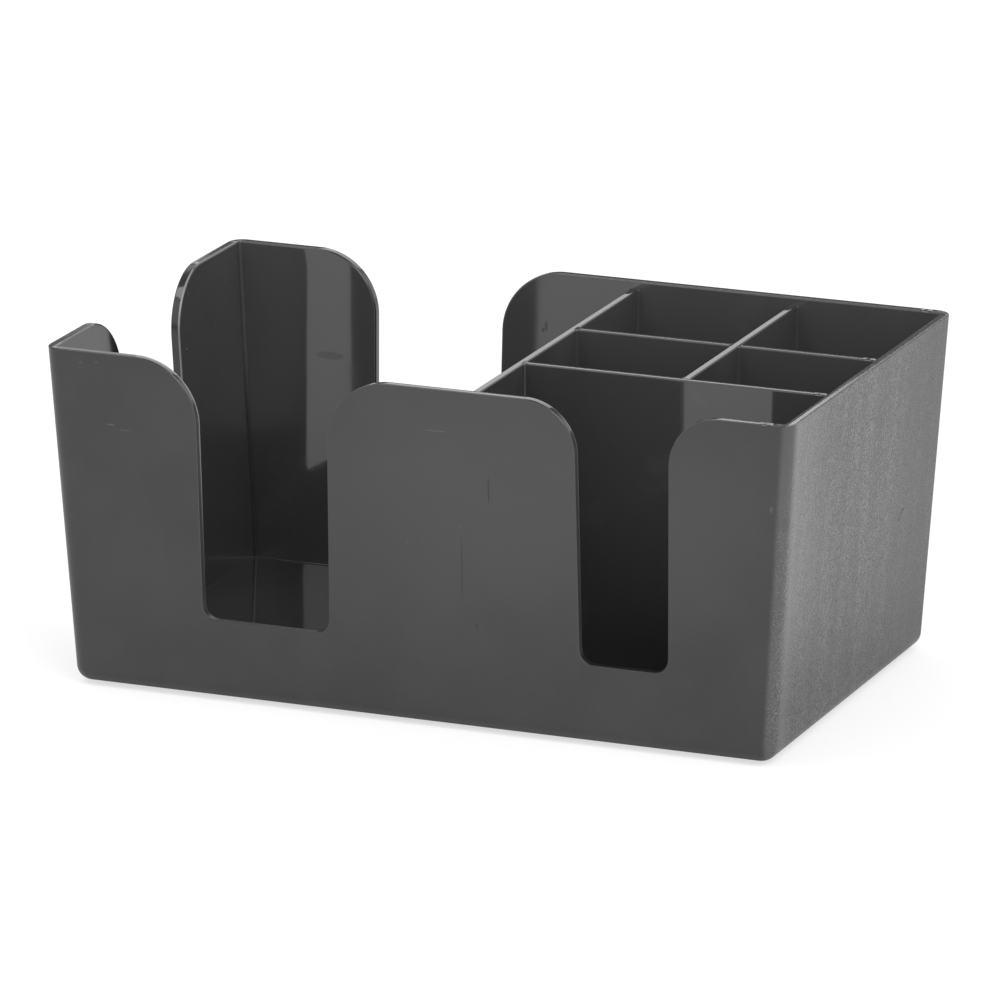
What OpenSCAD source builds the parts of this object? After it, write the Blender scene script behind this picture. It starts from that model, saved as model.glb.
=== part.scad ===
// Bar-top cutlery and napkin dispenser: a leaning-walled tray with cut-outs,
// four upright divider panels that make six bays, and four pads to stand on.
// Millimetres, +Z up, origin on the surface under the middle of the tray.
// The napkin bay is at -X, the front is at -Y.

/* [Tray] */
// Width over the rim, left to right
tray_w = 240; // [225:1:270]
// Depth over the rim, front to back
tray_d = 143; // [130:1:165]
// Height of the tray above its own underside
tray_h = 105.5; // [95:0.5:120]
// Thickness of the walls, measured level
wall_t = 3; // [2.5:0.1:3.6]
// Thickness of the floor
floor_t = 3.5; // [3.2:0.1:5]
// Lean of the two end walls, in degrees
end_lean = 3.63; // [2:0.01:4.5]
// Lean of the front and back walls, in degrees
side_lean = 2.15; // [1:0.01:3]
// Radius of the upright corners, outside
corner_r = 5; // [4.2:0.1:7]
// Radius between the walls and the underside
base_r = 4.5; // [4.2:0.1:6]
// Radius of the corners inside
inner_r = 1.2; // [0.6:0.1:2]

/* [Cut-outs] */
// Height of the front and back sills above the underside
sill_h = 24.8; // [18:0.2:40]
// Height of the end wall's sill above the underside
end_sill_h = 22; // [18:0.2:40]
// Radius at the foot of each cut-out
sill_r = 4.5; // [3:0.1:7]
// Lean of the cut-outs' sides, in degrees
gap_lean = 0.6; // [0.2:0.05:1.5]
// Width at the rim of the three large cut-outs
napkin_gap_w = 42.9; // [36:0.1:52]
// Radius at the rim of the three large cut-outs
napkin_gap_r = 20; // [12:0.5:24]
// Middle of the front and back cut-outs, left of the tray's middle
napkin_gap_x = 48.75; // [46:0.25:56]
// How far the end wall's cut-out is ahead of the middle
end_gap_shift = 1.75; // [0:0.25:8]
// Width at the rim of the small front cut-out
front_gap_w = 29.7; // [22:0.1:36]
// Radius at the rim of the small front cut-out
front_gap_r = 16.3; // [10:0.1:20]
// Middle of the small front cut-out, right of the tray's middle
front_gap_x = 66.8; // [64:0.2:72]

/* [Dividers] */
// Thickness of the divider panels
divider_t = 2.5; // [2.2:0.1:3]
// How far the dividers end below the rim
divider_drop = 2.5; // [1.5:0.1:8]
// Width of the napkin bay at the rim
napkin_bay_w = 132.3; // [128:0.1:138]
// Width of the two cells beside the napkin bay
cell_w = 49.95; // [44:0.05:56]
// Depth of the rear cells at the rim
rear_bay_d = 49.15; // [42:0.05:54]
// Depth of the front bay at the rim
front_bay_d = 42.7; // [38:0.05:48]
// How deep the panels sit in the tray's walls
wall_seat = 1; // [0.8:0.1:1.2]
// How deep the panels sit in each other
panel_seat = 0.8; // [0.6:0.1:0.9]
// Clearance beside and behind a seated panel
seat_clear = 0.1; // [0.05:0.01:0.2]

/* [Feet] */
// Diameter of the pads
foot_d = 12; // [10:0.5:16]
// Thickness of the pads
foot_h = 2.5; // [2.2:0.1:3.2]
// How deep the pads sit in the underside
foot_seat = 1.5; // [1:0.1:2]
// Bevel at the pads' lower edge
foot_bevel = 0.4; // [0.2:0.05:0.8]
// Middle of the pads, in from the edges of the underside
foot_inset = 18; // [14:0.5:24]
// Clearance round the pads
foot_clear = 0.15; // [0.05:0.01:0.3]

/* [Hidden] */
// How far a cutting shape runs past what it cuts
overrun = 1;
// Thickness of the thin disc that ends the outer shell at the rim
disc_t = 0.01;
// Facets of the rounded shell
shell_fn = 48;
base_z = foot_h - foot_seat;
rim_z = base_z + tray_h;
floor_z = base_z + floor_t;
divider_z = rim_z - divider_drop;
lap_z = (floor_z + divider_z) / 2;

// Outer face of an end wall and of a side wall at height z
function end_x(z) = tray_w / 2 - (rim_z - z) * tan(end_lean);
function side_y(z) = tray_d / 2 - (rim_z - z) * tan(side_lean);

// Middle planes of the dividers
centre_x = napkin_bay_w + wall_t + divider_t / 2 - tray_w / 2;
straw_x = centre_x + cell_w + divider_t;
rear_y = tray_d / 2 - wall_t - rear_bay_d - divider_t / 2;
front_y = front_bay_d + wall_t + divider_t / 2 - tray_d / 2;
foot_x = end_x(base_z) - foot_inset;
foot_y = side_y(base_z) - foot_inset;

// A half ball, turned so that its lowest point is exact
module ball(r) {
    rotate_extrude($fn = shell_fn)
        intersection() {
            rotate(90) circle(r, $fn = shell_fn);
            translate([0, -r]) square([r, r * 2]);
        }
}

// The tray's shell, drawn in by `inset` on every wall, its bottom at z = low
module shell(inset, low, r_low, r_top, top_t) {
    z0 = low + r_low;
    hull() {
        for (sx = [-1, 1], sy = [-1, 1]) {
            translate([sx * (end_x(z0) - inset - r_low / cos(end_lean)),
                       sy * (side_y(z0) - inset - r_low / cos(side_lean)), z0])
                ball(r_low);
            translate([sx * (tray_w / 2 - inset - r_top), sy * (tray_d / 2 - inset - r_top), rim_z])
                translate([0, 0, min(top_t, 0)])
                    cylinder(h = abs(top_t), r = r_top, $fn = shell_fn);
        }
    }
}

// Outline of a cut-out: leaning sides, round foot corners, outward curves at the rim
module gap_outline(w, r, sill) {
    c = cos(gap_lean);
    s = sin(gap_lean);
    zt = rim_z - r;
    zb = base_z + sill + sill_r;
    ut = w / 2 - (rim_z - zt) * tan(gap_lean) + r / c;
    ub = w / 2 - (rim_z - zb) * tan(gap_lean) - sill_r / c;
    half = [[ub, zb - sill_r], [ub + sill_r * c, zb - sill_r * s], [ut - r * c, zt + r * s],
            [ut, zt], [ut, rim_z + overrun]];
    difference() {
        union() {
            polygon(concat(half, [for (i = [len(half) - 1:-1:0]) [-half[i][0], half[i][1]]]));
            for (sx = [-1, 1]) translate([sx * ub, zb]) circle(sill_r, $fn = 64);
        }
        for (sx = [-1, 1]) translate([sx * ut, zt]) circle(r, $fn = 128);
    }
}

// Upright plate in the X-Z plane (or Y-Z with turn = 90), centred on its middle plane
module plate(outline, t, turn) {
    rotate([0, 0, turn]) rotate([90, 0, 0])
        translate([0, 0, -t / 2]) linear_extrude(t) polygon(outline);
}

// Outlines of the panels, `more` is added at the seated ends
function centre_outline(more) = let (e = wall_seat - wall_t + more)
    [[-side_y(floor_z) - e, floor_z], [side_y(floor_z) + e, floor_z],
     [side_y(divider_z) + e, divider_z], [-side_y(divider_z) - e, divider_z]];
function cross_outline(more) = let (e = wall_seat - wall_t + more,
                                    x0 = centre_x + divider_t / 2 - panel_seat - more)
    [[x0, floor_z], [end_x(floor_z) + e, floor_z], [end_x(divider_z) + e, divider_z],
     [x0, divider_z]];
function straw_outline(more) = let (e = wall_seat - wall_t + more,
                                    y0 = front_y + divider_t / 2 - panel_seat - more)
    [[y0, floor_z], [side_y(floor_z) + e, floor_z], [side_y(divider_z) + e, divider_z],
     [y0, divider_z]];

module centre_panel(more, t) { translate([centre_x, 0, 0]) plate(centre_outline(more), t, 90); }
module rear_panel(more, t) { translate([0, rear_y, 0]) plate(cross_outline(more), t, 0); }
module front_panel(more, t) { translate([0, front_y, 0]) plate(cross_outline(more), t, 0); }
module straw_panel(more, t) { translate([straw_x, 0, 0]) plate(straw_outline(more), t, 90); }

// One pad, standing on z = 0
module pad(d, h, bevel) {
    rotate_extrude($fn = 96)
        polygon([[0, 0], [d / 2 - bevel, 0], [d / 2, bevel], [d / 2, h], [0, h]]);
}

module foot(sx, sy) {
    color("dimgray") translate([sx * foot_x, sy * foot_y, 0]) pad(foot_d, foot_h, foot_bevel);
}

module tray() {
    color([0.2, 0.2, 0.21]) difference() {
        shell(0, base_z, base_r, corner_r, -disc_t);
        shell(wall_t, floor_z, inner_r, inner_r, overrun);
        // napkin bay: one cut through the front and back walls, one through the end wall
        translate([-napkin_gap_x, tray_d / 2 + overrun, 0]) rotate([90, 0, 0])
            linear_extrude(tray_d + overrun * 2) gap_outline(napkin_gap_w, napkin_gap_r, sill_h);
        translate([-tray_w / 2 - overrun, -end_gap_shift, 0]) rotate([90, 0, 90])
            linear_extrude(napkin_bay_w) gap_outline(napkin_gap_w, napkin_gap_r, end_sill_h);
        // small cut-out in the front wall
        translate([front_gap_x, 0, 0]) rotate([90, 0, 0])
            linear_extrude(tray_d / 2 + overrun) gap_outline(front_gap_w, front_gap_r, sill_h);
        // housings for the ends of the panels
        centre_panel(seat_clear, divider_t + seat_clear * 2);
        rear_panel(seat_clear, divider_t + seat_clear * 2);
        front_panel(seat_clear, divider_t + seat_clear * 2);
        straw_panel(seat_clear, divider_t + seat_clear * 2);
        // pockets for the pads
        for (sx = [-1, 1], sy = [-1, 1])
            translate([sx * foot_x, sy * foot_y, base_z - overrun])
                cylinder(h = foot_seat + overrun, d = foot_d + foot_clear * 2, $fn = 96);
    }
}

module centre_divider() {
    color([0.26, 0.26, 0.27]) difference() {
        centre_panel(0, divider_t);
        rear_panel(seat_clear, divider_t + seat_clear * 2);
        front_panel(seat_clear, divider_t + seat_clear * 2);
    }
}

module rear_cross_divider() {
    color([0.3, 0.3, 0.31]) difference() {
        rear_panel(0, divider_t);
        // half-lap: open upwards, the straw divider drops into it
        translate([straw_x - divider_t / 2 - seat_clear, rear_y - divider_t, lap_z])
            cube([divider_t + seat_clear * 2, divider_t * 2, tray_h]);
    }
}

module front_cross_divider() {
    color([0.3, 0.3, 0.31]) difference() {
        front_panel(0, divider_t);
        straw_panel(seat_clear, divider_t + seat_clear * 2);
    }
}

module straw_divider() {
    color([0.34, 0.34, 0.35]) difference() {
        straw_panel(0, divider_t);
        // half-lap: open downwards, it rests on the rear cross divider
        translate([straw_x - divider_t, rear_y - divider_t / 2 - seat_clear, 0])
            cube([divider_t * 2, divider_t + seat_clear * 2, lap_z]);
    }
}

tray();
centre_divider();
rear_cross_divider();
front_cross_divider();
straw_divider();
foot(-1, -1);  // foot_front_left
foot(1, -1);  // foot_front_right
foot(-1, 1);  // foot_back_left
foot(1, 1);  // foot_back_right
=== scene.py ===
import math
import bpy
from mathutils import Matrix, Vector


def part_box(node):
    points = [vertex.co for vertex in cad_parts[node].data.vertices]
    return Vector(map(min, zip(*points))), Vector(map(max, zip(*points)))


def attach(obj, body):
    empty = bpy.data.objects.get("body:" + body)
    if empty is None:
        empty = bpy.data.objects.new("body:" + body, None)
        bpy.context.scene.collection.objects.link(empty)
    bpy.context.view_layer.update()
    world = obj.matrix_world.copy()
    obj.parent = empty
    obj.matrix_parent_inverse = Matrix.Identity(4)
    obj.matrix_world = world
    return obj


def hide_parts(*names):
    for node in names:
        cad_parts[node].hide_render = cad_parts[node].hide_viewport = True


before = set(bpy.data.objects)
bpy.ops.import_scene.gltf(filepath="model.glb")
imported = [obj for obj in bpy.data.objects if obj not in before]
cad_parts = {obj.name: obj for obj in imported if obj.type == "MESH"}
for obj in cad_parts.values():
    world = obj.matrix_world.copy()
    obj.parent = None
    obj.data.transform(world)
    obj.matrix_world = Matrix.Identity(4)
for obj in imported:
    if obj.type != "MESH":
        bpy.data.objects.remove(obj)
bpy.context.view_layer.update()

# Sizes, in metres. The tray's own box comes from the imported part.
MM = 0.001
BASE = 1.0 * MM                      # underside of the tray over the bar top
LOW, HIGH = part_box("tray")
TRAY_W, TRAY_D, RIM = HIGH.x - LOW.x, HIGH.y - LOW.y, HIGH.z
WALL, FLOOR = 3.0 * MM, 3.5 * MM
END_LEAN, SIDE_LEAN = math.radians(3.63), math.radians(2.15)
CORNER_R, BASE_R, INNER_R, FOOT_R = 5.0 * MM, 4.3 * MM, 0.8 * MM, 0.4 * MM
GAP_LEAN = math.radians(0.6)
SILL, END_SILL, SILL_R = BASE + 24.8 * MM, BASE + 22.0 * MM, 4.5 * MM
NAPKIN_GAP_W, NAPKIN_GAP_R, NAPKIN_GAP_X = 42.9 * MM, 20.0 * MM, -48.75 * MM
END_GAP_Y = -1.75 * MM
FRONT_GAP_W, FRONT_GAP_R, FRONT_GAP_X = 29.7 * MM, 16.3 * MM, 66.8 * MM
RIM_INNER_ROUND, RIM_OUTER_ROUND = 0.6 * MM, 0.5 * MM
PANEL_T, PANEL_TOP_ROUND = 2.5 * MM, 0.5 * MM
SEAT = 1.0 * MM                      # how far a divider's end runs into a wall
PANEL_SEAT = 0.8 * MM                # the same, into another divider
FLARE = 0.55 * MM                    # fillet where a divider meets a wall
FLARE_R = 0.9 * FLARE
LAP_PLAY = 0.03 * MM
TOUCH, NEARLY, LOOSELY = 0.01 * MM, 0.05 * MM, 0.1 * MM
MARGIN = 6.0 * MM                    # how far a cutter runs past what it cuts
PAD_RING, PAD_SLOPE, PAD_DISH, PAD_ROUND = 1.4 * MM, 0.5 * MM, 0.35 * MM, 0.4 * MM
SHARP = math.radians(50)             # an edge that turns by more is rounded
SMOOTH_UNDER = math.radians(35)      # faces that meet at less are shaded as one
IN_ONE_PLANE = math.radians(0.5)
ALONG = 0.9                          # least cosine of a face that looks a given way
FLOOR_TOP = BASE + FLOOR
PANEL_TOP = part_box("centre_divider")[1].z


def middle(node, axis):
    low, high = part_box(node)
    return (low[axis] + high[axis]) / 2


CENTRE_X, STRAW_X = middle("centre_divider", 0), middle("straw_divider", 0)
REAR_Y, FRONT_Y = middle("rear_cross_divider", 1), middle("front_cross_divider", 1)


def end_x(z):
    """Outer face of an end wall at height z."""
    return TRAY_W / 2 - (RIM - z) * math.tan(END_LEAN)


def side_y(z):
    """Outer face of the front or back wall at height z."""
    return TRAY_D / 2 - (RIM - z) * math.tan(SIDE_LEAN)


# Modelling helpers

def deselect():
    if bpy.context.object and bpy.context.object.mode != "OBJECT":
        bpy.ops.object.mode_set(mode="OBJECT")
    bpy.ops.object.select_all(action="DESELECT")


def take(piece):
    deselect()
    piece.select_set(True)
    bpy.context.view_layer.objects.active = piece


def edit(piece, kind):
    """Edit mode with nothing selected."""
    take(piece)
    bpy.ops.object.mode_set(mode="EDIT")
    bpy.ops.mesh.select_mode(type=kind)
    bpy.ops.mesh.select_all(action="DESELECT")


def done():
    bpy.ops.object.mode_set(mode="OBJECT")


def pick_faces(piece, test):
    """Edit mode with the faces selected whose centre and normal pass the test."""
    edit(piece, "FACE")
    done()
    for face in piece.data.polygons:
        face.select = bool(test(face.center, face.normal))
    bpy.ops.object.mode_set(mode="EDIT")


def pick_edges(piece, test):
    """Edit mode with the edges selected whose two ends pass the test."""
    edit(piece, "EDGE")
    done()
    at = piece.data.vertices
    for edge in piece.data.edges:
        edge.select = bool(test(at[edge.vertices[0]].co, at[edge.vertices[1]].co))
    bpy.ops.object.mode_set(mode="EDIT")


def pick_sharp(piece, test):
    """Edit mode with the sharp edges selected whose two ends pass the test."""
    edit(piece, "EDGE")
    done()
    mesh = piece.data
    beside = {}
    for face in mesh.polygons:
        for key in face.edge_keys:
            beside.setdefault(key, []).append(face.normal.copy())
    for edge in mesh.edges:
        pair = beside.get(edge.key, [])
        a, b = (mesh.vertices[v].co for v in edge.vertices)
        edge.select = len(pair) == 2 and pair[0].angle(pair[1], 0) > SHARP and bool(test(a, b))
    bpy.ops.object.mode_set(mode="EDIT")


def faces_down(c, n):
    return n.z < -ALONG


def bevel(offset, segments):
    """Rounds the selected edges, and leaves edit mode."""
    bpy.ops.mesh.bevel(offset=offset, offset_type="OFFSET", segments=segments, profile=0.5,
                       affect="EDGES", clamp_overlap=False)
    done()


def split(piece, point, normal):
    """A line of new edges all round the piece, where a plane crosses it."""
    edit(piece, "EDGE")
    bpy.ops.mesh.select_all(action="SELECT")
    bpy.ops.mesh.bisect(plane_co=point, plane_no=normal)
    done()


def block(name, low, high):
    """A cube primitive from corner to corner, its place in its mesh."""
    deselect()
    low, high = Vector(low), Vector(high)
    bpy.ops.mesh.primitive_cube_add(size=1, location=(low + high) / 2, scale=high - low)
    piece = bpy.context.object
    piece.name = piece.data.name = name
    bpy.ops.object.transform_apply(location=True, rotation=True, scale=True)
    return piece


def cut(piece, cutter):
    take(piece)
    bpy.ops.object.modifier_add(type="BOOLEAN")
    modifier = piece.modifiers[-1]
    modifier.operation, modifier.solver, modifier.object = "DIFFERENCE", "EXACT", cutter
    bpy.ops.object.modifier_apply(modifier=modifier.name)
    bpy.data.objects.remove(cutter)


def smooth(piece):
    """Smooth shading that keeps every large face flat."""
    take(piece)
    bpy.ops.object.shade_smooth_by_angle(angle=SMOOTH_UNDER)
    bpy.ops.object.modifier_add(type="WEIGHTED_NORMAL")
    modifier = piece.modifiers[-1]
    modifier.mode, modifier.weight, modifier.keep_sharp = "FACE_AREA", 100, True
    bpy.ops.object.modifier_apply(modifier=modifier.name)


def join_flats(piece):
    """Makes one face again of faces that a cut left in one plane."""
    edit(piece, "FACE")
    bpy.ops.mesh.select_all(action="SELECT")
    bpy.ops.mesh.dissolve_limited(angle_limit=IN_ONE_PLANE)
    done()


def near(a, b, reach=2 * TOUCH):
    return abs(a - b) < reach


# Tray

def leaning_box(name, inset, low, high, corner_r, corner_n, base_r, base_n):
    """A box inside the tray's leaning walls by inset, with round upright and base edges."""
    x, y = end_x(high) - inset, side_y(high) - inset
    box = block(name, (-x, -y, low), (x, y, high))
    shrink = ((end_x(low) - inset) / x, (side_y(low) - inset) / y, 1)
    pick_faces(box, faces_down)
    bpy.ops.transform.resize(value=shrink, center_override=(0, 0, low))
    pick_edges(box, lambda a, b: abs(a.z - b.z) > MARGIN)
    bevel(corner_r, corner_n)
    pick_edges(box, lambda a, b: near(a.z, low) and near(b.z, low))
    bevel(base_r, base_n)
    return box


def gap_cutter(name, width, sill, start, stop):
    """A leaning-sided slot cutter along Y from start to stop, round at its foot."""
    top = RIM + MARGIN
    half_top = width / 2 + MARGIN * math.tan(GAP_LEAN)
    half_sill = width / 2 - (RIM - sill) * math.tan(GAP_LEAN)
    cutter = block(name, (-half_top, start, sill), (half_top, stop, top))
    pick_faces(cutter, faces_down)
    bpy.ops.transform.resize(value=(half_sill / half_top, 1, 1), center_override=(0, 0, sill))
    pick_edges(cutter, lambda a, b: near(a.z, sill) and near(b.z, sill) and near(a.x, b.x))
    bevel(SILL_R, 8)
    return cutter


def place(piece, turn, move):
    """Turns a piece about Z, moves it, and keeps both in its mesh."""
    take(piece)
    piece.rotation_euler = (0, 0, turn)
    piece.location = move
    bpy.ops.object.transform_apply(location=True, rotation=True, scale=True)
    return piece


def make_tray():
    tray = leaning_box("moulded_tray", 0, BASE, RIM, CORNER_R, 10, BASE_R, 8)
    cut(tray, leaning_box("cavity", WALL, FLOOR_TOP, RIM + MARGIN, INNER_R, 4, FOOT_R, 3))
    reach = TRAY_D / 2 + MARGIN
    through = gap_cutter("napkin_gap", NAPKIN_GAP_W, SILL, -reach, reach)
    cut(tray, place(through, 0, (NAPKIN_GAP_X, 0, 0)))
    front = gap_cutter("front_gap", FRONT_GAP_W, SILL, -reach, -TRAY_D / 4)
    cut(tray, place(front, 0, (FRONT_GAP_X, 0, 0)))
    end = gap_cutter("end_gap", NAPKIN_GAP_W, END_SILL, -MARGIN, TRAY_W / 4)
    cut(tray, place(end, math.pi / 2, (-TRAY_W / 4 - MARGIN, END_GAP_Y, 0)))

    def across(a, b):
        return near(a.z, RIM) and near(b.z, RIM) and near((a - b).length, WALL, LOOSELY)

    # A gap's side meets the rim at more than a right angle, which its rounding allows for.
    corner = math.tan((math.pi / 2 + GAP_LEAN) / 2)
    pick_edges(tray, lambda a, b: across(a, b) and a.x > CENTRE_X)
    bevel(FRONT_GAP_R / corner, 20)
    pick_edges(tray, lambda a, b: across(a, b) and a.x < CENTRE_X)
    bevel(NAPKIN_GAP_R / corner, 24)

    def depth(a, b):
        c = (a + b) / 2
        return min(end_x(c.z) - abs(c.x), side_y(c.z) - abs(c.y))

    def high(a, b):
        return min(a.z, b.z) > END_SILL - MM

    pick_sharp(tray, lambda a, b: high(a, b) and depth(a, b) > WALL / 2)
    bevel(RIM_INNER_ROUND, 4)
    pick_sharp(tray, lambda a, b: high(a, b) and depth(a, b) < WALL / 2)
    bevel(RIM_OUTER_ROUND, 4)
    return tray


# Divider panels, modelled along X and turned where they run along Y

def reach_in(position, lean, seat):
    """Where a panel ends at a height: seat deep in a wall whose inner face is at position at the rim."""
    side = math.copysign(1, position)
    return lambda z: side * (abs(position) - (RIM - z) * math.tan(lean) + seat)


def straight(position):
    return lambda z: position


def round_into_flare(piece, on_line):
    """Rounds the upright edges on a line, where a panel begins to widen."""
    pick_edges(piece, lambda a, b: on_line(a) and on_line(b) and abs(a.z - b.z) > MARGIN)
    bevel(FLARE_R, 4)


def end_flare(piece, face, lean, seat):
    """Widens a panel's end where it meets the face, with a small concave fillet."""
    side = math.copysign(1, face(RIM) - piece_middle(piece))
    out = Vector((side * math.cos(lean), 0, -math.sin(lean)))
    origin = Vector((face(RIM), 0, RIM))
    split(piece, origin - out * FLARE, out)
    start = piece_middle(piece)
    pick_faces(piece, lambda c, n: n.dot(out) > ALONG and (c.x - start) * side > 0)
    grown = (PANEL_T / 2 + FLARE + seat) / (PANEL_T / 2)
    bpy.ops.transform.resize(value=(1, grown, 1), center_override=(0, 0, 0))
    join_flats(piece)
    round_into_flare(piece, lambda p: near((p - origin).dot(out), -FLARE))


def piece_middle(piece):
    xs = [v.co.x for v in piece.data.vertices]
    return (min(xs) + max(xs)) / 2


def cross_flare(piece, x):
    """Widens a panel where another one crosses it, with fillets on both sides."""
    half = PANEL_T / 2
    for offset in (-half - FLARE, -half, half, half + FLARE):
        split(piece, (x + offset, 0, 0), (1, 0, 0))
    pick_edges(piece, lambda a, b: abs(a.x - x) < half + TOUCH and abs(b.x - x) < half + TOUCH)
    bpy.ops.transform.resize(value=(1, (half + FLARE) / half, 1), center_override=(0, 0, 0))
    join_flats(piece)
    round_into_flare(piece, lambda p: near(abs(p.x - x), half + FLARE))


def make_panel(name, start, stop, flares, crossing=None):
    """start and stop give the panel's ends at a height, flares its (face, lean, seat) ends."""
    half, ends = PANEL_T / 2, (start(PANEL_TOP), stop(PANEL_TOP))
    panel = block(name, (ends[0], -half, FLOOR_TOP), (ends[1], half, PANEL_TOP))
    for end in (start, stop):
        top = end(PANEL_TOP)
        pick_edges(panel, lambda a, b: near(a.z, FLOOR_TOP) and near(b.z, FLOOR_TOP)
                   and near(a.x, top) and near(b.x, top))
        bpy.ops.transform.translate(value=(end(FLOOR_TOP) - top, 0, 0))
        done()
    for face, lean, seat in flares:
        end_flare(panel, face, lean, seat)
    if crossing is not None:
        cross_flare(panel, crossing)

    def along_top(a, b):
        if not (near(a.z, PANEL_TOP) and near(b.z, PANEL_TOP)):
            return False
        return not any(near(a.x, end, LOOSELY) and near(b.x, end, LOOSELY) for end in ends)

    pick_sharp(panel, along_top)
    bevel(PANEL_TOP_ROUND, 4)
    return panel


LAP_Z = (FLOOR_TOP + PANEL_TOP) / 2
wall_x, wall_y = TRAY_W / 2 - WALL, TRAY_D / 2 - WALL
right_face = (reach_in(wall_x, END_LEAN, 0), END_LEAN, SEAT)
back_face = (reach_in(wall_y, SIDE_LEAN, 0), SIDE_LEAN, SEAT)
front_face = (reach_in(-wall_y, SIDE_LEAN, 0), SIDE_LEAN, SEAT)
to_right = reach_in(wall_x, END_LEAN, SEAT)
to_back = reach_in(wall_y, SIDE_LEAN, SEAT)
to_front = reach_in(-wall_y, SIDE_LEAN, SEAT)
from_centre = straight(CENTRE_X + PANEL_T / 2 - PANEL_SEAT)
centre_face = (straight(CENTRE_X + PANEL_T / 2), 0, PANEL_SEAT)
from_front_panel = straight(FRONT_Y + PANEL_T / 2 - PANEL_SEAT)
front_panel_face = (straight(FRONT_Y + PANEL_T / 2), 0, PANEL_SEAT)

tray = make_tray()
centre = make_panel("divider_centre", to_front, to_back, (front_face, back_face))
rear = make_panel("divider_rear_cross", from_centre, to_right, (centre_face, right_face), STRAW_X)
front = make_panel("divider_front_cross", from_centre, to_right, (centre_face, right_face))
straw = make_panel("divider_straw", from_front_panel, to_back, (front_panel_face, back_face))

# The half-lap where the straw divider crosses the rear one, which is flared there.
thin, wide = PANEL_T / 2 + LAP_PLAY, PANEL_T / 2 + FLARE + LAP_PLAY
cut(rear, block("slot", (STRAW_X - thin, -MARGIN, LAP_Z), (STRAW_X + thin, MARGIN, PANEL_TOP + MARGIN)))
cut(straw, block("slot", (REAR_Y - wide, -MARGIN, FLOOR_TOP - MARGIN), (REAR_Y + wide, MARGIN, LAP_Z)))
place(centre, math.pi / 2, (CENTRE_X, 0, 0))
place(rear, 0, (0, REAR_Y, 0))
place(front, 0, (0, FRONT_Y, 0))
place(straw, math.pi / 2, (STRAW_X, 0, 0))


# Pads

def make_pad(name, node):
    """A round pad with a shallow dish in its underside and a rounded lower edge."""
    low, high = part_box(node)
    centre, radius = (low + high) / 2, (high.x - low.x) / 2
    deselect()
    bpy.ops.mesh.primitive_cylinder_add(vertices=72, radius=radius, depth=high.z - low.z, location=centre)
    pad = bpy.context.object
    pad.name = pad.data.name = name
    bpy.ops.object.transform_apply(location=True, rotation=True, scale=True)
    pick_faces(pad, faces_down)
    bpy.ops.mesh.inset(thickness=PAD_RING)
    bpy.ops.mesh.inset(thickness=PAD_SLOPE)
    bpy.ops.transform.translate(value=(0, 0, PAD_DISH))

    def on_outer_edge(p):
        return near(p.z, low.z) and math.hypot(p.x - centre.x, p.y - centre.y) > radius - NEARLY

    pick_edges(pad, lambda a, b: on_outer_edge(a) and on_outer_edge(b))
    bevel(PAD_ROUND, 3)
    return pad


PAD_NODES = ("foot_front_left", "foot_front_right", "foot_back_left", "foot_back_right")
first_pad = make_pad("pad_front_left", PAD_NODES[0])
pads = [first_pad]
for node in PAD_NODES[1:]:
    pad = first_pad.copy()
    pad.data = first_pad.data.copy()
    pad.name = pad.data.name = node.replace("foot", "pad")
    bpy.context.scene.collection.objects.link(pad)
    place(pad, 0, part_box(node)[0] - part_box(PAD_NODES[0])[0])
    pads.append(pad)

for piece in (tray, centre, rear, front, straw, *pads):
    smooth(piece)


# Finishes

class Value:
    """A node's socket, for plain arithmetic."""

    def __init__(self, finish, socket):
        self.finish, self.socket = finish, socket

    def math(self, operation, *others):
        inputs = {i: v for i, v in enumerate((self, *others))}
        return self.finish.node("ShaderNodeMath", {"operation": operation}, inputs)["Value"]

    def __add__(self, other):
        return self.math("ADD", other)

    def __sub__(self, other):
        return self.math("SUBTRACT", other)

    def __rsub__(self, other):
        return (self * -1) + other

    def __mul__(self, other):
        return self.math("MULTIPLY", other)

    __radd__, __rmul__ = __add__, __mul__

    def step(self, low, high):
        """0 below low, 1 above high, smooth between."""
        node = self.finish.node("ShaderNodeMapRange", {"interpolation_type": "SMOOTHSTEP"},
                                {"Value": self, "From Min": low, "From Max": high})
        return node["Result"]


class Outputs:
    """A node's outputs by name."""

    def __init__(self, finish, node):
        self.finish, self.node = finish, node

    def __getitem__(self, name):
        return Value(self.finish, self.node.outputs[name])


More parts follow.
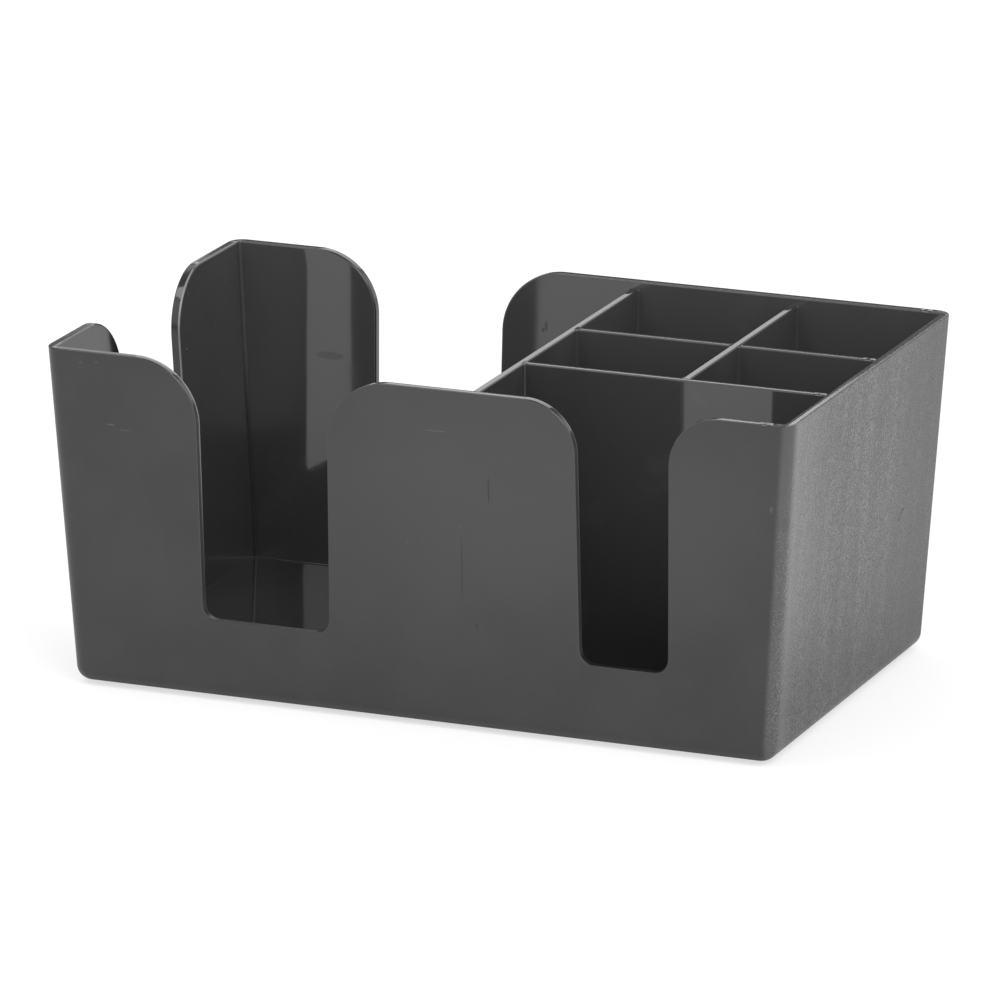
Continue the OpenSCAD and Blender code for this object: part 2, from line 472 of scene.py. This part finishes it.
class Finish:
    """One material's node tree, or the world's."""

    def __init__(self, name, tree=None):
        if tree is None:
            self.material = bpy.data.materials.new(name)
            self.material.use_nodes = True
            tree = self.material.node_tree
        self.tree = tree
        tree.nodes.clear()

    def node(self, kind, settings=None, inputs=None):
        """A node of this kind, its settings first, then its sockets' values or links."""
        node = self.tree.nodes.new(kind)
        for name, value in (settings or {}).items():
            setattr(node, name, value)
        for name, value in (inputs or {}).items():
            if isinstance(value, Value):
                self.tree.links.new(value.socket, node.inputs[name])
            elif value is not None:
                node.inputs[name].default_value = value
        return Outputs(self, node)

    def vector(self, operation, first, second):
        return self.node("ShaderNodeVectorMath", {"operation": operation}, {0: first, 1: second})

    def place_mm(self):
        """The place on the object, in millimetres."""
        at = self.node("ShaderNodeTexCoord")["Object"]
        scaled = self.node("ShaderNodeVectorMath", {"operation": "SCALE"}, {0: at, "Scale": 1 / MM})
        return scaled["Vector"]

    def facing(self):
        """The way the surface faces on the object, by axis."""
        return self.axis(self.node("ShaderNodeTexCoord")["Normal"])

    def axis(self, vector):
        return self.node("ShaderNodeSeparateXYZ", None, {"Vector": vector})

    def noise(self, at, scale, detail, roughness=0.5):
        inputs = {"Vector": at, "Scale": scale, "Detail": detail, "Roughness": roughness}
        return self.node("ShaderNodeTexNoise", None, inputs)["Fac"]

    def stretched(self, at, scale):
        return self.vector("MULTIPLY", at, scale)["Vector"]

    def mix(self, share, first, second):
        node = self.node("ShaderNodeMix", {"data_type": "RGBA"}, {0: share, 6: first, 7: second})
        return Value(self, node.node.outputs[2])

    def layered(self, colour, *layers):
        """Each (share, colour) layer laid over the ones before it."""
        for share, paint in layers:
            colour = self.mix(share, colour, paint)
        return colour

    def spot(self, at, centre, reach, soft=0.35):
        """1 inside the ellipsoid of half-sizes reach round centre, fading to 0 at its edge."""
        off = self.vector("SUBTRACT", at, centre)["Vector"]
        share = self.vector("DIVIDE", off, reach)["Vector"]
        length = self.node("ShaderNodeVectorMath", {"operation": "LENGTH"}, {0: share})["Value"]
        return 1 - length.step(1 - soft, 1.0)

    def marks(self, at, *spots):
        """All the given (centre, reach) spots as one mask."""
        total = 0
        for centre, reach in spots:
            total = self.spot(at, centre, reach) + total
        return total

    def bump(self, height_mm):
        """A normal from a height in millimetres."""
        inputs = {"Height": height_mm, "Distance": MM, "Strength": 1.0}
        return self.node("ShaderNodeBump", None, inputs)["Normal"]

    def plastic(self, colour, roughness, normal, ior, coat=0.0):
        inputs = {"Base Color": colour, "Roughness": roughness, "Normal": normal,
                  "IOR": ior, "Coat Weight": coat}
        shader = self.node("ShaderNodeBsdfPrincipled", None, inputs)["BSDF"]
        self.node("ShaderNodeOutputMaterial", None, {"Surface": shader})
        return self.material


def grey(level):
    return (level, level, level, 1)


PLASTIC_IOR, POLISHED_IOR, RUBBER_IOR = 1.62, 1.72, 1.5
CHARCOAL, CHARCOAL_LIGHT = grey(0.024), grey(0.034)
GRAIN_PER_MM, GRAIN_DEPTH = 1.4, 0.22
BACK_TWIST, BACK_TURN, END_TURN = 0.00045, 0.002, -0.0090

# The tray in millimetres, for finishes that follow its walls.
HALF_W, HALF_D, RIM_Z = TRAY_W / 2 / MM, TRAY_D / 2 / MM, RIM / MM
END_SLOPE, SIDE_SLOPE = math.tan(END_LEAN), math.tan(SIDE_LEAN)
PANEL_X = CENTRE_X / MM

# Where a finish fades in, as a start and an end in millimetres.
END_FACE, END_SIDES = (111.0, 114.5), (63.0, 68.0)
SMOOTHED_BACK, SHADED_BACK = (5.0, 48.0), (0.0, 60.0)
RIM_BAND, SCRAPED_BAND = (102.6, 104.8), (90.0, 104.0)
BASE_BAND, WORN_BASE, SHADED_BASE = (2.5, 5.5), (4.0, 14.0), (5.0, 60.0)
SILL_BAND, ABOVE_SILL = (28.0, 34.0), (34.0, 80.0)

# Small marks of use, each a centre and half-sizes in millimetres. The first is no mark but a broad painted
# pool of light across the front face.
FRONT_LIGHT_POOL = ((30, -70, 78), (118, 60, 66))
SCRATCHES = (((7.5, -71.0, 93.6), (4.2, 4.0, 0.28)), ((15.0, -70.0, 64.6), (0.4, 4.0, 0.5)),
             ((-1.8, -70.0, 57.8), (0.4, 4.0, 0.3)), ((-107.7, -71.0, 102.9), (0.5, 4.0, 0.4)),
             ((-102.4, -71.0, 103.5), (0.5, 4.0, 0.35)), ((-98.2, -71.0, 84.3), (1.8, 4.0, 0.35)),
             ((-93.6, -71.0, 83.0), (2.2, 4.0, 0.2)), ((113.8, -69.5, 80.6), (0.7, 3.0, 1.2)),
             ((117.0, 55.0, 61.4), (4.0, 9.0, 0.16)), ((116.0, 40.0, 22.0), (4.0, 3.5, 0.18)))
DENTS = (((15.5, -69.5, 51.5), (0.22, 4.0, 12.0)), ((24.4, -70.4, 77.0), (0.3, 4.0, 5.0)),
         ((116.5, 37.0, 52.3), (4.0, 1.5, 0.8)), ((116.5, 35.4, 51.4), (4.0, 0.9, 0.9)),
         ((116.4, 34.2, 50.0), (4.0, 0.7, 1.2)),
         ((116.0, 44.6, 42.8), (4.0, 0.5, 0.6)), ((20.0, -69.5, 33.8), (0.4, 4.0, 1.1)))
SMUDGES = (((-85.5, 67.0, 72.6), (5.5, 4.0, 1.5)), ((-12.6, 68.0, 89.4), (0.7, 4.0, 2.0)),
           ((-13.6, 68.0, 88.0), (0.6, 4.0, 1.0)))
CHIPS = (((-115.5, 24.4, 82.4), (4.0, 1.3, 0.5)),)


def behind_front_face(y, z):
    """How far in from the leaning front face, in millimetres."""
    return y + HALF_D - (RIM_Z - z) * SIDE_SLOPE


def inside_right_face(x, z):
    """How far in from the leaning right end, in millimetres."""
    return HALF_W - (RIM_Z - z) * END_SLOPE - x


def outside_finish():
    """Satin moulded plastic: fine grain, spark-roughened ends, a few handling marks, a painted pool of
    light on the front, painted highlights at the front right corner and painted shade on the ends.
    """
    f = Finish("charcoal_outside")
    at = f.place_mm()
    x, y, z = (f.axis(at)[name] for name in "XYZ")
    cloud = f.noise(at, 0.035, 4, 0.55)
    grain = f.noise(at, GRAIN_PER_MM, 3, 0.6)
    wave = f.noise(at, 0.02, 2)
    streak = f.noise(f.stretched(at, (0.5, 0.5, 0.03)), 1.0, 3, 0.6)
    rub = f.noise(f.stretched(at, (0.08, 0.08, 0.4)), 1.0, 4, 0.65).step(0.58, 0.78)

    # The ends carry a coarse texture, worn smooth at the corners and towards the back.
    on_end = x.math("ABSOLUTE").step(*END_FACE) * (1 - y.math("ABSOLUTE").step(*END_SIDES))
    blotch = f.noise(at, 0.06, 4, 0.6).step(0.3, 0.6)
    stripe = f.noise(f.stretched(at, (0.0, 0.09, 0.004)), 1.0, 3, 0.6).step(0.35, 0.65)
    textured = on_end * (1.15 - y.step(*SMOOTHED_BACK) * 0.7) * (blotch * 0.45 + 0.55)
    speckle = f.noise(at, 1.35, 3, 0.85).step(0.40, 0.62) - 0.5
    patch = f.noise(at, 0.3, 3, 0.6).step(0.35, 0.65) - 0.5
    rim_and_base = z.step(*RIM_BAND) + (1 - z.step(*BASE_BAND))
    ragged = rim_and_base * on_end * f.noise(at, 0.8, 4, 0.7).step(0.48, 0.62)
    raised = f.noise(at, 0.45, 4, 0.7).step(0.56, 0.66)
    gouged = f.noise(at, 0.3, 4, 0.7).step(0.60, 0.70)
    scraped = on_end * z.step(*SCRAPED_BAND) * (raised - gouged)
    worn_base = on_end * (1 - z.step(*WORN_BASE)) * f.noise(at, 2.2, 2, 0.8).step(0.55, 0.64)
    # Painted shade: the ends darker towards the back and towards the base.
    shaded = on_end * (y.step(*SHADED_BACK) * 0.4 + (1 - z.step(*SHADED_BASE)) * 0.4)

    # The front right corner: worn flecks and rubbed streaks along the line of its two leaning walls, and a
    # painted highlight down its rounding and in a pale band on the end beside it.
    behind_front, inside_end = behind_front_face(y, z), inside_right_face(x, z)
    corner = (1 - inside_end.step(1.8, 3.6)) * (1 - behind_front.step(5.4, 7.4))
    fleck = f.noise(at, 2.4, 2, 0.8).step(0.53, 0.62) * f.noise(at, 0.10, 3).step(0.25, 0.5)
    flecks = fleck * corner * z.step(-2.0, 14.0) * (1 - z.step(66.0, 100.0))
    streaks = f.noise(f.stretched(at, (1.1, 1.1, 0.05)), 1.0, 3, 0.6).step(0.45, 0.62)
    rubbed = streaks * corner * z.step(55.0, 75.0) * (1 - z.step(98.0, 104.0))
    beside_corner = (1 - inside_end.step(0.8, 2.4)) * behind_front.step(5.2, 7.8)
    painted_corner_band = beside_corner * (1 - behind_front.step(7.0, 15.0))
    painted_corner_sheen = beside_corner * (1 - behind_front.step(12.0, 50.0)) * z.step(10.0, 45.0)

    # Painted light: a broad lighter pool across the middle of the front face, fading towards its ends.
    front_light_pool = f.spot(at, *FRONT_LIGHT_POOL, 0.9)
    light, dark = f.marks(at, *SCRATCHES), f.marks(at, *DENTS)
    sparkle = textured * (1 - painted_corner_band * 0.7) * (speckle * 2.2 + patch * 0.5 + 0.33)
    colour = f.layered(
        f.mix(cloud.step(0.3, 0.7), CHARCOAL, CHARCOAL_LIGHT),
        (front_light_pool * 0.7, grey(0.058)),
        (sparkle.math("MAXIMUM", 0.0), grey(0.24)),
        (on_end * stripe * 0.35, grey(0.006)),
        # Painted highlight: the pale band and a fainter sheen on the end beside the front right corner, and
        # the corner's rounding lighter.
        (painted_corner_sheen * 0.3, grey(0.25)),
        (painted_corner_band * 0.85, grey(0.19)),
        (corner * 0.4, grey(0.15)),
        (ragged * 0.5, grey(0.16)),
        ((scraped * 0.3).math("MAXIMUM", 0.0), grey(0.22)),
        ((scraped * -0.5).math("MAXIMUM", 0.0), grey(0.01)),
        (worn_base * 0.5, grey(0.28)),
        (rubbed * 0.20, grey(0.13)),
        # Painted shade on the ends.
        (shaded, grey(0.004)),
        ((light * 0.30).math("MINIMUM", 1.0), grey(0.16)),
        (flecks * 0.35, grey(0.36)),
        ((dark * 0.7).math("MINIMUM", 1.0), grey(0.006)))
    roughness = 0.26 + cloud * 0.05 + rub * 0.06 + streak * 0.03 + textured * speckle * 0.28 + dark * 0.12
    height = grain * (0.03 + textured * GRAIN_DEPTH) + wave * 0.03 + streak * 0.01
    return f.plastic(colour, roughness.math("MINIMUM", 1.0), f.bump(height), PLASTIC_IOR)


def inside_finish(name, dark, light, lit_cell_colours=None):
    """The mould's polished side: mirror-like, with faint smudges and hairline scratches, and painted light
    and shade.

    The last argument gives the two colours right of the centre divider, painted light where the walls of
    the cells are lit."""
    f = Finish(name)
    at, facing = f.place_mm(), f.facing()
    x, y, z = (f.axis(at)[name] for name in "XYZ")
    smudge = f.noise(at, 0.05, 4, 0.6).step(0.52, 0.75)
    hair = f.noise(f.stretched(at, (1.3, 1.3, 0.035)), 1.0, 2).step(0.73, 0.78)
    wave = f.noise(at, 0.018, 2)
    stain, chip = f.marks(at, *SMUDGES), f.marks(at, *CHIPS)
    by_cells = x.step(PANEL_X - 1, PANEL_X + 1)
    bay_floor = facing["Z"].step(0.5, 0.8) * (1 - by_cells)
    on_back = (facing["Y"] * -1).step(0.5, 0.8) * y.step(50.0, 60.0) * (1 - x.step(-50.0, -40.0))
    on_left = facing["X"].step(0.5, 0.8) * (1 - x.step(-110.0, -106.0))

    colour = f.mix(smudge, dark, light)
    # Painted light: the back of the inside lighter at mid height, and the walls right of the centre divider
    # lighter where the cells are lit.
    if lit_cell_colours:
        colour = f.layered(colour, (y.step(40.0, 60.0) * z.step(20.0, 70.0), grey(0.060)),
                           (by_cells, f.mix(smudge, *lit_cell_colours)))
    else:
        # Painted light: the dividers lighter towards the back, where the rear cells are lit.
        colour = f.mix(y.step(-12.0, 6.0), colour, grey(0.072))
    colour = f.layered(
        colour,
        ((stain * 0.45).math("MINIMUM", 1.0), grey(0.008)),
        ((chip * 0.5).math("MINIMUM", 1.0), grey(0.12)),
        # Painted shade: the napkin bay's floor darker.
        (bay_floor * 0.7, grey(0.022)),
        (on_left * (1 - y.step(-26.0, -16.0)) * 0.85, grey(0.010)))
    roughness = 0.05 + smudge * 0.04 + hair * 0.12 + stain * 0.10 + on_left * y.step(8.0, 16.0) * 0.11

    # The mould leaves the back wall a little twisted and the left end a little turned.
    bent = x.math("SMOOTH_MIN", -84.0, 12.0) + 90
    twist = on_back * (bent * (z - 65) * BACK_TWIST + x * BACK_TURN)
    height = wave * 0.05 + twist + on_left * y * END_TURN
    return f.plastic(colour, roughness.math("MINIMUM", 1.0), f.bump(height), POLISHED_IOR, bay_floor)


def rim_finish(name, rise=0.0):
    """The rim, rubbed bright by use, with a painted highlight line along the cut-outs.

    rise tips it up along Y."""
    f = Finish(name)
    at, facing = f.place_mm(), f.facing()
    x, y, z = (f.axis(at)[name] for name in "XYZ")
    faces_up, faces_right = facing["Z"].step(0.05, 0.7), facing["X"].step(0.08, 0.2)
    faces_front = facing["Y"] * -1
    front_wall, back = 1 - y.step(-66.0, -62.0), y.step(66.5, 68.0)
    left_end, right_end = 1 - x.step(-117.5, -116.0), x.step(110.0, 115.0)
    at_sill = 1 - z.step(*SILL_BAND)
    worn = f.noise(at, 0.35, 4, 0.65).step(0.4, 0.7)
    nick = f.noise(at, 1.4, 3, 0.6)

    # A painted highlight runs as a pale line down the inner edge of the front gaps' left sides and the end
    # gap's far side, brighter above the sill.
    far_edge = behind_front_face(y, z).step(1.8, 2.1) * (1 - x.step(-40.0, 20.0) * 0.7)
    far_line = faces_right * front_wall * far_edge
    round_front = faces_front.step(0.2, 0.3) * (1 - faces_front.step(0.95, 0.985))
    corner_line = faces_right * round_front * (1 - x.step(-114.0, -110.0))
    painted_edge_highlight = (far_line + corner_line) * (z.step(*ABOVE_SILL) * 0.60 + 0.08)

    # Worn a little out of level: down to the inside along the right end, to the front along the
    # left end's front half, and to the back along the back wall.
    inner_half = (x - 118.4 - y.step(-30.0, 0.0) * 0.4).math("MINIMUM", 0.0) * right_end
    level = inner_half * 0.3 + left_end * y.math("MINIMUM", 0.0) * 0.10 - back * (y - 70) * 0.012 + y * rise
    outer_half = right_end * (1 - (inner_half * -4).math("MINIMUM", 1.0)) * nick.step(0.42, 0.60)

    # Painted light and shade: the rim's sides lighter on the front wall and darker elsewhere.
    sides, top = f.mix(front_wall, grey(0.020), grey(0.056)), f.mix(worn, grey(0.030), grey(0.038))
    colour = f.layered(
        sides,
        (faces_up, top),
        (outer_half * faces_up * 0.45, grey(0.22)),
        # Painted highlight along the cut-outs' inner edges.
        (painted_edge_highlight, grey(0.40)),
        (faces_up * at_sill * 0.8, grey(0.006)))
    roughness = 0.14 + worn * 0.04 - faces_up * 0.09 + left_end * 0.02
    roughness = roughness + front_wall * (1 - faces_up) * 0.18 + at_sill * 0.35
    return f.plastic(colour, roughness, f.bump(nick * 0.006 + level), PLASTIC_IOR)


def fillet_finish():
    """The upright inner corners, satin, with a painted highlight down their upper part and painted shade
    below.
    """
    f = Finish("charcoal_fillet")
    at = f.place_mm()
    worn, high = f.noise(at, 0.35, 4, 0.65).step(0.4, 0.7), f.axis(at)["Z"].step(40.0, 75.0)
    # Painted highlight high up on the corners, painted shade below.
    colour = f.mix(high, grey(0.022), f.mix(worn, grey(0.066), grey(0.076)))
    return f.plastic(colour, 0.33 + worn * 0.04, None, PLASTIC_IOR)


def rubber_finish():
    """Matte black rubber with a little dust."""
    f = Finish("black_rubber")
    at = f.place_mm()
    dust = f.noise(at, 0.6, 4, 0.6).step(0.45, 0.75)
    tooth = f.noise(at, 3.0, 3, 0.6)
    colour = f.mix(dust, grey(0.018), grey(0.035))
    return f.plastic(colour, 0.65 + dust * 0.2, f.bump(tooth * 0.02), RUBBER_IOR)


OUTSIDE, FILLET, RUBBER = outside_finish(), fillet_finish(), rubber_finish()
EDGE, LONG_EDGE = rim_finish("charcoal_rim"), rim_finish("charcoal_divider_rim", 0.03)
INSIDE = inside_finish("charcoal_inside", grey(0.046), grey(0.052), (grey(0.076), grey(0.086)))
PANEL = inside_finish("charcoal_divider", grey(0.054), grey(0.064))


def wear(piece, *finishes):
    piece.data.materials.clear()
    for finish in finishes:
        piece.data.materials.append(finish)


def faces_wear(piece, choose):
    for face in piece.data.polygons:
        face.material_index = choose(face.center, face.normal)


def tray_side(c, n):
    """0 outside, 1 inside, 2 rim and cut-out edges, 3 upright inner corners."""
    if c.z < FLOOR_TOP - TOUCH:
        return 0
    if n.z > ALONG and c.z > RIM - LOOSELY:
        return 2
    from_end, from_side = end_x(c.z) - abs(c.x), side_y(c.z) - abs(c.y)
    depth = min(from_end, from_side)
    if depth > WALL - NEARLY:
        # A round corner's faces look between the directions of the two walls.
        round_corner = min(abs(n.x), abs(n.y)) > 0.12 and abs(n.z) < 0.3
        return 3 if round_corner else 1
    outwards = n.x * c.x + n.y * c.y > 0 and n.z < 0.5
    on_corner = max(from_end, from_side) < CORNER_R and outwards
    on_base = c.z < BASE + BASE_R + MM and outwards
    return 0 if depth < NEARLY or on_corner or on_base else 2


wear(tray, OUTSIDE, INSIDE, EDGE, FILLET)
faces_wear(tray, tray_side)
for panel in (centre, rear, front, straw):
    wear(panel, PANEL, LONG_EDGE if panel in (centre, straw) else EDGE)
    faces_wear(panel, lambda c, n: 1 if c.z > PANEL_TOP - PANEL_TOP_ROUND * 0.7 else 0)
for pad in pads:
    wear(pad, RUBBER)

STANDS_FOR = ((tray, "tray"), (centre, "centre_divider"), (rear, "rear_cross_divider"),
              (front, "front_cross_divider"), (straw, "straw_divider"), *zip(pads, PAD_NODES))
for piece, node in STANDS_FOR:
    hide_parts(node)
    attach(piece, "root")
    ("tray_plastic" if node == "tray" else
            "pad_rubber" if node in PAD_NODES else "divider_plastic")


# Studio: a pale floor, a white world, soft light

def floor_finish():
    """Pale to the camera and in reflections, darker where the object shades it."""
    f = Finish("pale_floor")
    path = f.node("ShaderNodeLightPath")

    def glowing(glow, level):
        light = f.node("ShaderNodeEmission", None, {"Color": grey(1.0), "Strength": glow})["Emission"]
        paint = f.node("ShaderNodeBsdfDiffuse", None, {"Color": grey(level)})["BSDF"]
        return f.node("ShaderNodeAddShader", None, {0: light, 1: paint})["Shader"]

    surface = f.node("ShaderNodeBsdfDiffuse", None, {"Color": grey(0.8)})["BSDF"]
    mirrored = path["Is Glossy Ray"].math("MAXIMUM", path["Is Transmission Ray"])
    for share, layer in ((mirrored, glowing(0.16, 0.70)), (path["Is Camera Ray"], glowing(0.66, 0.42))):
        surface = f.node("ShaderNodeMixShader", None, {0: share, 1: surface, 2: layer})["Shader"]
    f.node("ShaderNodeOutputMaterial", None, {"Surface": surface})
    return f.material


FLOOR_SIZE = 12.0
deselect()
bpy.ops.mesh.primitive_plane_add(size=FLOOR_SIZE, location=(0, 0, 0))
ground = bpy.context.object
ground.name = ground.data.name = "studio_floor"
wear(ground, floor_finish())

world = bpy.data.worlds.new("white_studio")
bpy.context.scene.world = world
world.use_nodes = True
sky = Finish("", world.node_tree)
path = sky.node("ShaderNodeLightPath")
mirrored = path["Is Glossy Ray"]
seen = path["Is Camera Ray"].math("MAXIMUM", mirrored).math("MAXIMUM", path["Is Transmission Ray"])

# The mirrors in the plastic see darker parts of the room behind, overhead and low in front.
direction = sky.axis(sky.node("ShaderNodeTexCoord")["Generated"])
x, y, z = (direction[name] for name in "XYZ")
behind = y.step(0.2, 0.5) * (1 - z.step(0.45, 0.6)) * z.step(0.0, 0.02) * (1 - x.step(0.15, 0.4))
overhead = z.step(0.7, 0.88)
in_front = (y * -1).step(0.5, 0.8) * z.step(0.0, 0.05) * (1 - z.step(0.12, 0.22))
strength = 0.72 + seen * 0.28 - (behind * 0.85 + overhead * 0.85 + in_front * 0.7) * mirrored
shine = sky.node("ShaderNodeBackground", None, {"Color": grey(1.0), "Strength": strength})["Background"]
sky.node("ShaderNodeOutputWorld", None, {"Surface": shine})


def softbox(name, at, aim, size, power):
    """A square lamp, with its place, aim and size in metres and its power in watts."""
    light = bpy.data.lights.new(name, "AREA")
    light.shape, light.size, light.energy = "SQUARE", size, power
    lamp = bpy.data.objects.new(name, light)
    bpy.context.scene.collection.objects.link(lamp)
    lamp.location = at
    lamp.rotation_euler = (Vector(aim) - Vector(at)).to_track_quat("-Z", "Y").to_euler()


TRAY_MIDDLE = (0, 0, 0.05)
softbox("key_softbox", (1.1, -0.9, 1.5), TRAY_MIDDLE, 1.2, 15)
softbox("rim_softbox", (-0.19, 0.80, 0.635), (-0.19, 0, 0.635), 0.58, 1.5)
softbox("side_softbox", (-0.68, 0.80, 0.34), (-0.68, 0, 0.34), 0.445, 0.47)
softbox("top_softbox", (-0.62, -0.47, 1.55), TRAY_MIDDLE, 0.6, 3.6)

# Camera, at the photograph's angle
CAMERA_TURN, CAMERA_RISE = math.radians(22.1349), math.radians(16.0401)
CAMERA_DISTANCE, CAMERA_LENS, SENSOR = 2.7728, 327.54, 36.0
CLIP = (0.1, 50.0)
AIM, SLIDE, LIFT = Vector((0, 0, 53.0 * MM + BASE)), -0.478 * MM, -1.407 * MM
right = Vector((math.cos(CAMERA_TURN), math.sin(CAMERA_TURN), 0))
level = Vector((math.sin(CAMERA_TURN), -math.cos(CAMERA_TURN), 0))
back = level * math.cos(CAMERA_RISE) + Vector((0, 0, math.sin(CAMERA_RISE)))
up = back.cross(right)
lens = bpy.data.cameras.new("camera")
lens.lens, lens.sensor_width, lens.sensor_fit = CAMERA_LENS, SENSOR, "HORIZONTAL"
lens.clip_start, lens.clip_end = CLIP
camera = bpy.data.objects.new("camera", lens)
bpy.context.scene.collection.objects.link(camera)
stand = AIM + back * CAMERA_DISTANCE + right * SLIDE + up * LIFT
camera.matrix_world = Matrix.Translation(stand) @ Matrix((right, up, back)).transposed().to_4x4()
bpy.context.scene.camera = camera

bpy.context.scene.view_settings.view_transform = "Standard"
